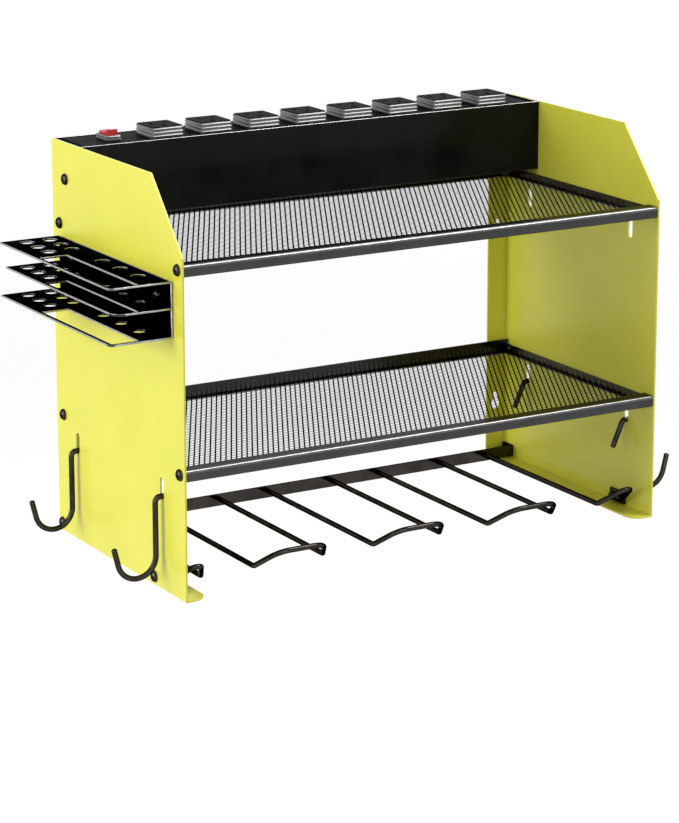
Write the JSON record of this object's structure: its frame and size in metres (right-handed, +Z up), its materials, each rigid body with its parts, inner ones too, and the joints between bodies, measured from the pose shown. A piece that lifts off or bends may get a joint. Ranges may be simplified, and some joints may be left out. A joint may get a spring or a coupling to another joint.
{
  "type": "wall mounted power tool organizer",
  "caption": "Wall organizer for power tools: folded side plates carry mesh shelves, a drill rack, side hooks, a punched holder and a switched power strip along the back.",
  "frame": {"origin": "middle of the trough's back face, on the wall plane", "axes": "+X to the right as seen from the front, +Y into the wall, +Z up; the front faces -Y"},
  "size_m": [0.5378, 0.224, 0.3354],
  "materials": {
    "powder_coat": "yellow-green powder coat, semi-gloss",
    "black_coat": "black satin coat",
    "gloss_coat": "black gloss coat",
    "black_chrome": "dark polished plating",
    "brass": "plain",
    "grey_plastic": "fine ribs on the sides",
    "black_plastic": "satin",
    "red_plastic": "glossy",
    "rubber": "matte"
  },
  "bodies": {
    "frame": {"cord_gland": "rubber", "divider_loop_1": "black_chrome", "divider_loop_2": "black_chrome", "divider_loop_3": "black_chrome", "ground_bus_bar": "brass", "holder_back_panel": "black_coat", "holder_bottom_tier": "black_coat", "holder_middle_tier": "black_coat", "holder_nut_front": "black_chrome", "holder_nut_rear": "black_chrome", "holder_top_tier": "black_coat", "left_end_loop": "black_chrome", "left_rack_tab": "black_chrome", "left_side_plate": "powder_coat", "live_bus_bar": "brass", "lower_shelf_mesh": "black_coat", "lower_shelf_tray": "black_coat", "neutral_bus_bar": "brass", "outlet_1": "grey_plastic", "outlet_2": "grey_plastic", "outlet_3": "grey_plastic", "outlet_4": "grey_plastic", "outlet_5": "grey_plastic", "outlet_6": "grey_plastic", "outlet_7": "grey_plastic", "outlet_8": "grey_plastic", "power_strip_trough": "gloss_coat", "rack_rear_bar": "black_chrome", "right_end_loop": "black_chrome", "right_rack_tab": "black_chrome", "right_side_plate": "powder_coat", "screw_holder_front": "black_chrome", "screw_holder_rear": "black_chrome", "screw_left_lower_tray_front": "black_chrome", "screw_left_lower_tray_rear": "black_chrome", "screw_left_rack_front": "black_chrome", "screw_left_rack_rear": "black_chrome", "screw_left_trough": "black_chrome", "screw_left_upper_tray_front": "black_chrome", "screw_left_upper_tray_rear": "black_chrome", "screw_right_lower_tray_front": "black_chrome", "screw_right_lower_tray_rear": "black_chrome", "screw_right_rack_front": "black_chrome", "screw_right_rack_rear": "black_chrome", "screw_right_trough": "black_chrome", "screw_right_upper_tray_front": "black_chrome", "screw_right_upper_tray_rear": "black_chrome", "strip_base": "black_plastic", "strip_cover": "black_plastic", "switch_body": "black_plastic", "upper_shelf_mesh": "black_coat", "upper_shelf_tray": "black_coat"},
    "rocker": {"rocker": "red_plastic"},
    "hook_left_front": {"hook_left_front": "black_chrome"},
    "hook_left_rear": {"hook_left_rear": "black_chrome"},
    "hook_right_front": {"hook_right_front": "black_chrome"},
    "hook_right_rear": {"hook_right_rear": "black_chrome"}
  },
  "joints": [
    {"name": "rocker_press", "type": "hinge", "parent": "frame", "child": "rocker", "pos_m": [-0.181, -0.025, 0.0327], "axis": [1, 0, 0], "range_deg": [0, 18]},
    {"name": "hook_left_front_swing", "type": "hinge", "parent": "frame", "child": "hook_left_front", "pos_m": [-0.21925, -0.186, -0.22165], "axis": [0, 1, 0], "range_deg": [0, 18]},
    {"name": "hook_left_rear_swing", "type": "hinge", "parent": "frame", "child": "hook_left_rear", "pos_m": [-0.21925, -0.038, -0.22165], "axis": [0, 1, 0], "range_deg": [0, 18]},
    {"name": "hook_right_front_swing", "type": "hinge", "parent": "frame", "child": "hook_right_front", "pos_m": [0.21925, -0.186, -0.22165], "axis": [0, -1, 0], "range_deg": [0, 18]},
    {"name": "hook_right_rear_swing", "type": "hinge", "parent": "frame", "child": "hook_right_rear", "pos_m": [0.21925, -0.038, -0.22165], "axis": [0, -1, 0], "range_deg": [0, 18]}
  ]
}
